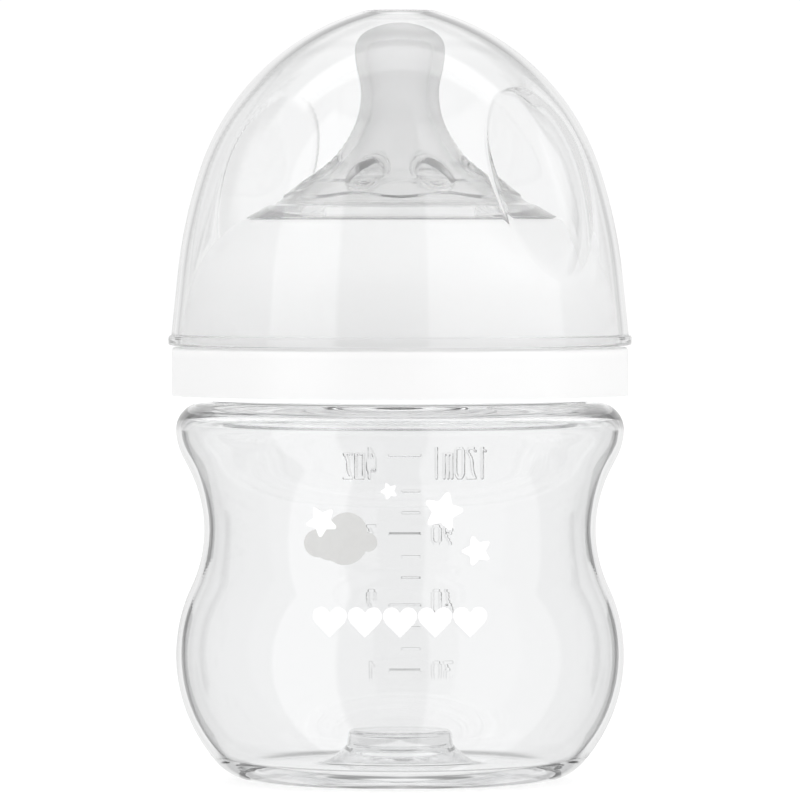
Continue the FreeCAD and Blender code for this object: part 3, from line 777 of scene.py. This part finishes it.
def ranged(tree, value, low, high):
    node = tree.nodes.new("ShaderNodeMapRange")
    node.inputs["To Min"].default_value = low
    node.inputs["To Max"].default_value = high
    tree.links.new(value, node.inputs["Value"])
    return node.outputs["Result"]


def tinted(tree, value, low, high):
    node = tree.nodes.new("ShaderNodeMix")
    node.data_type = "RGBA"
    node.inputs["A"].default_value = (*low, 1)
    node.inputs["B"].default_value = (*high, 1)
    tree.links.new(value, node.inputs["Factor"])
    return node.outputs["Result"]


def bumped(tree, shader, value, strength, distance):
    node = tree.nodes.new("ShaderNodeBump")
    node.inputs["Strength"].default_value = strength
    node.inputs["Distance"].default_value = distance
    tree.links.new(value, node.inputs["Height"])
    tree.links.new(node.outputs["Normal"], shader.inputs["Normal"])


def clear_plastic(name, ior, tint, density):
    """Clear moulded plastic: faint flow waves, slight roughness changes, grey in its depth."""
    material, tree, shader = new_material(name)
    shader.inputs["Transmission Weight"].default_value = 1.0
    shader.inputs["IOR"].default_value = ior
    flow = noise(tree, 60, 2.0)
    tree.links.new(ranged(tree, flow, 0.0, 0.035), shader.inputs["Roughness"])
    tree.links.new(tinted(tree, flow, tint, [c + 0.012 for c in tint]), shader.inputs["Base Color"])
    bumped(tree, shader, noise(tree, 45, 1.0), 0.10, 0.0004)
    depth = tree.nodes.new("ShaderNodeVolumeAbsorption")
    depth.inputs["Color"].default_value = (0.80, 0.82, 0.83, 1)
    depth.inputs["Density"].default_value = density
    tree.links.new(depth.outputs["Volume"], tree.nodes["Material Output"].inputs["Volume"])
    return material


def white_plastic(name, painted_glow=0.0):
    """White moulded plastic with a fine satin grain, darker on the band and lighter above the shelf as
    painted shade and light; its emission is painted light, which stands in for light that comes through its
    wall.
    """
    material, tree, shader = new_material(name)
    grain = noise(tree, 2600, 4.0, 0.6)
    height = coordinate(tree, "Object")["Z"]
    # Painted light and shade: the colour is darker on the band and lighter on the dome above the shelf, to
    # make up for the light the clear cap takes from the dome. A faint noise adds a random tone.
    upper = climb(tree, height, *(z * MM for z in COLLAR_PAINTED_LIGHT_Z), "LINEAR")
    painted_light_and_tone = combined(tree, "MULTIPLY_ADD", noise(tree, 40, 2.0), 0.1, upper)
    tree.links.new(tinted(tree, painted_light_and_tone, (0.81, 0.81, 0.81), (0.95, 0.95, 0.95)), shader.inputs["Base Color"])
    tree.links.new(ranged(tree, grain, 0.24, 0.36), shader.inputs["Roughness"])
    shader.inputs["Subsurface Weight"].default_value = 0.3
    shader.inputs["Subsurface Radius"].default_value = (1.0, 1.0, 1.0)
    shader.inputs["Subsurface Scale"].default_value = 0.002
    shader.inputs["Emission Color"].default_value = WHITE
    # Painted light: an emission that makes the faces given this material shine though they are no lamp.
    shader.inputs["Emission Strength"].default_value = painted_glow
    bumped(tree, shader, grain, 0.05, 0.00005)
    return material


def silicone(name):
    """Silicone: clear and glossy on the cone, milky in the nipple and on the blank step."""
    material, tree, shader = new_material(name)
    place = coordinate(tree, "Object")
    milk = climb(tree, place["Z"], *(z * MM for z in MILK_Z))
    step = 1.0
    for axis, (low, high, soft) in MILKY_STEP.items():
        step = combined(tree, "MULTIPLY", step, between(tree, place[axis], low, high, soft, MM))
    clear = combined(tree, "SUBTRACT", ranged(tree, milk, 0.90, 0.85), combined(tree, "MULTIPLY", step, 0.4))
    shader.inputs["IOR"].default_value = 1.41
    tree.links.new(clear, shader.inputs["Transmission Weight"])
    tree.links.new(ranged(tree, milk, 0.09, 0.25), shader.inputs["Roughness"])
    tree.links.new(tinted(tree, milk, (0.90, 0.90, 0.90), (0.95, 0.95, 0.952)), shader.inputs["Base Color"])
    bumped(tree, shader, noise(tree, 700, 3.0), 0.06, 0.0001)
    return material


def ink(name, dark, light, texture):
    """Screen-printed ink with a fine mesh texture and slightly uneven cover."""
    material, tree, shader = new_material(name)
    cover = noise(tree, texture, 3.0, 0.6)
    tree.links.new(tinted(tree, cover, dark, light), shader.inputs["Base Color"])
    tree.links.new(ranged(tree, cover, 0.38, 0.55), shader.inputs["Roughness"])
    bumped(tree, shader, cover, 0.05, 0.00003)
    return material


def dress(obj, material):
    obj.data.materials.clear()
    obj.data.materials.append(material)


def dress_inside(obj, material):
    """Gives a second material to the faces that look towards the axis or down."""
    obj.data.materials.append(material)
    for face in obj.data.polygons:
        outward = face.normal.x * face.center.x + face.normal.y * face.center.y
        if outward < -0.2 * math.hypot(face.center.x, face.center.y) or face.normal.z < -0.3:
            face.material_index = 1


# ---- the object -------------------------------------------------------------
bottle = make_bottle()
dress(bottle, clear_plastic("bottle_plastic", 1.50, (0.955, 0.958, 0.96), 3.0))
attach(bottle, "bottle")
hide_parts("bottle")

collar = make_collar()
dress(collar, white_plastic("collar_plastic"))
# The collar's inner and lower faces get a copy that gives out painted light, lifting the dark hollow over
# the neck.
dress_inside(collar, white_plastic("collar_inside_painted_light", INSIDE_PAINTED_LIGHT))
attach(collar, "collar")
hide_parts("collar")

teat = make_teat()
dress(teat, silicone("teat_rubber"))
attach(teat, "teat")
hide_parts("teat")

cap = make_cap()
dress(cap, clear_plastic("cap_plastic", 1.49, (0.985, 0.987, 0.988), 3.0))
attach(cap, "cap")
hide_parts("cap")

# Light reaches what is behind clear plastic, so the clear pieces throw no shadow.
for clear in (bottle, cap):
    clear.visible_shadow = False

WHITE_INK = ink("white_print", (0.955, 0.955, 0.955), (0.985, 0.985, 0.985), 900)
GREY_INK = ink("grey_print", (0.60, 0.60, 0.592), (0.66, 0.66, 0.652), 900)
for node, material in (("print_stars", WHITE_INK), ("print_hearts", WHITE_INK), ("print_cloud", GREY_INK)):
    dress(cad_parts[node], material)


# ---- stage, light and camera -------------------------------------------------
WORLD_LEVEL = 0.97
SEEN_LEVEL = 1.05
# Each patch: from and to azimuth, from and to elevation, radiance, softness of its sides and of its ends.
WORLD_PATCHES = [
    (-146, 146, -90, 62, 0.74, 4.0, 6.0),
    (-33, 15, -90, 70, 0.50, 2.0, 6.0),
    (-69, -33, -75, 58, 1.8, 1.5, 2.0),
    (15, 91, -75, 58, 1.42, 1.5, 2.0),
    (-172, -158, -40, 60, 0.85, 3.0, 3.0),
    (158, 172, -40, 60, 0.85, 3.0, 3.0),
    (-156, -148, 0, 60, 0.60, 2.0, 3.0),
    (148, 156, 0, 60, 0.60, 2.0, 3.0),
    (148, 181, 20, 34, 0.50, 4.0, 3.0),
    (-181, -148, 20, 34, 0.50, 4.0, 3.0),
    (148, 181, -34, -20, 0.30, 4.0, 3.0),
    (-181, -148, -34, -20, 0.30, 4.0, 3.0),
]
# The strip light overhead: from and to sideways, from and to over the top from the front, then as above.
OVERHEAD = (-40, 40, 91, 109, 2.3, 2, 2)
# Two low dark cards behind the bottle draw the dark lines in its walls: x from, x to, y, z from, z to.
CARD = (142, 215, 250, -120, 58)
CARD_GREY = (0.06, 0.06, 0.06, 1)
FLOOR_REACH = 4000
FLOOR_GAP = 0.05
FLOOR_GLOW = 0.55
EYE_Z = 83.4
AIM_Z = 56.6
EYE_DISTANCE = 1244
LENS = 376
BOUNCES = 64
DIFFUSE_BOUNCES = 24


def make_cards():
    """The cards are seen only through clear plastic."""
    near, far, y, low, high = (length * MM for length in CARD)
    for side_name, sign in (("left", -1), ("right", 1)):
        card = mesh_object("card_" + side_name, [
            (sign * near, y, low), (sign * far, y, low), (sign * far, y, high), (sign * near, y, high),
        ], [(0, 1, 2, 3)])
        material, _, shader = new_material("card_" + side_name)
        shader.inputs["Base Color"].default_value = CARD_GREY
        shader.inputs["Roughness"].default_value = 0.9
        dress(card, material)
        card.visible_camera = card.visible_diffuse = card.visible_glossy = card.visible_shadow = False


def make_floor():
    reach = FLOOR_REACH * MM
    floor = mesh_object("floor", [
        (-reach, -reach, 0), (reach, -reach, 0), (reach, reach, 0), (-reach, reach, 0),
    ], [(0, 1, 2, 3)])
    floor.location.z = (FOOT_Z - FLOOR_GAP) * MM
    floor.visible_transmission = False
    floor.visible_glossy = False
    material, tree, shader = new_material("floor_paint")
    tree.links.new(tinted(tree, noise(tree, 30, 2.0), (0.60, 0.60, 0.60), (0.62, 0.62, 0.62)),
                   shader.inputs["Base Color"])
    shader.inputs["Roughness"].default_value = 0.7
    shader.inputs["Specular IOR Level"].default_value = 0.2
    shader.inputs["Emission Color"].default_value = WHITE
    shader.inputs["Emission Strength"].default_value = FLOOR_GLOW
    dress(floor, material)


def patched(tree, level, across, up, patch):
    """The level with what is inside one patch, in two angles, replaced by an even radiance."""
    from_across, to_across, from_up, to_up, radiance, soft_across, soft_up = patch
    degree = math.radians(1)
    inside = combined(tree, "MULTIPLY", between(tree, across, from_across, to_across, soft_across, degree),
                      between(tree, up, from_up, to_up, soft_up, degree))
    change = combined(tree, "MULTIPLY", inside, combined(tree, "SUBTRACT", radiance, level))
    return combined(tree, "ADD", level, change)


def make_world():
    """A pale studio round the bottle, painted by direction.

    Azimuth 0 is in front of the bottle, 90 on its right and 180 behind it. The camera sees an
    even white. What it sees straight through clear plastic is never brighter than the level.
    """
    world = bpy.data.worlds.new("studio")
    bpy.context.scene.world = world
    world.use_nodes = True
    tree = world.node_tree
    away = coordinate(tree, "Generated")
    forward = combined(tree, "MULTIPLY", away["Y"], -1.0)
    azimuth = combined(tree, "ARCTAN2", away["X"], forward)
    elevation = combined(tree, "ARCSINE", away["Z"])
    level = WORLD_LEVEL
    for patch in WORLD_PATCHES:
        level = patched(tree, level, azimuth, elevation, patch)
    sideways = combined(tree, "ARCSINE", away["X"])
    over = combined(tree, "ARCTAN2", away["Z"], forward)
    level = patched(tree, level, sideways, over, OVERHEAD)
    rays = tree.nodes.new("ShaderNodeLightPath").outputs
    excess = combined(tree, "MAXIMUM", combined(tree, "SUBTRACT", level, WORLD_LEVEL), 0.0)
    straight_through = combined(tree, "MULTIPLY", rays["Is Transmission Ray"],
                                combined(tree, "LESS_THAN", rays["Diffuse Depth"], 0.5))
    level = combined(tree, "SUBTRACT", level, combined(tree, "MULTIPLY", excess, straight_through))
    light = tree.nodes["Background"]
    light.inputs["Color"].default_value = WHITE
    tree.links.new(level, light.inputs["Strength"])
    seen = tree.nodes.new("ShaderNodeBackground")
    seen.inputs["Color"].default_value = WHITE
    seen.inputs["Strength"].default_value = SEEN_LEVEL
    pick = tree.nodes.new("ShaderNodeMixShader")
    tree.links.new(rays["Is Camera Ray"], pick.inputs[0])
    tree.links.new(light.outputs["Background"], pick.inputs[1])
    tree.links.new(seen.outputs["Background"], pick.inputs[2])
    tree.links.new(pick.outputs["Shader"], tree.nodes["World Output"].inputs["Surface"])


def make_camera():
    camera = bpy.data.objects.new("camera", bpy.data.cameras.new("camera"))
    camera.data.lens = LENS
    camera.data.clip_start, camera.data.clip_end = 0.05, 50
    camera.location = (0, -EYE_DISTANCE * MM, EYE_Z * MM)
    tilt = math.atan2(EYE_Z - AIM_Z, EYE_DISTANCE)
    camera.rotation_euler = (math.pi / 2 - tilt, 0, 0)
    bpy.context.scene.collection.objects.link(camera)
    bpy.context.scene.camera = camera


make_floor()
make_cards()
make_world()
make_camera()
bpy.context.scene.view_settings.view_transform = "Standard"
# Light runs a long way inside the clear walls, and inside the white collar, before it leaves them.
bpy.context.scene.cycles.max_bounces = BOUNCES
bpy.context.scene.cycles.transmission_bounces = BOUNCES
bpy.context.scene.cycles.glossy_bounces = BOUNCES
bpy.context.scene.cycles.diffuse_bounces = DIFFUSE_BOUNCES
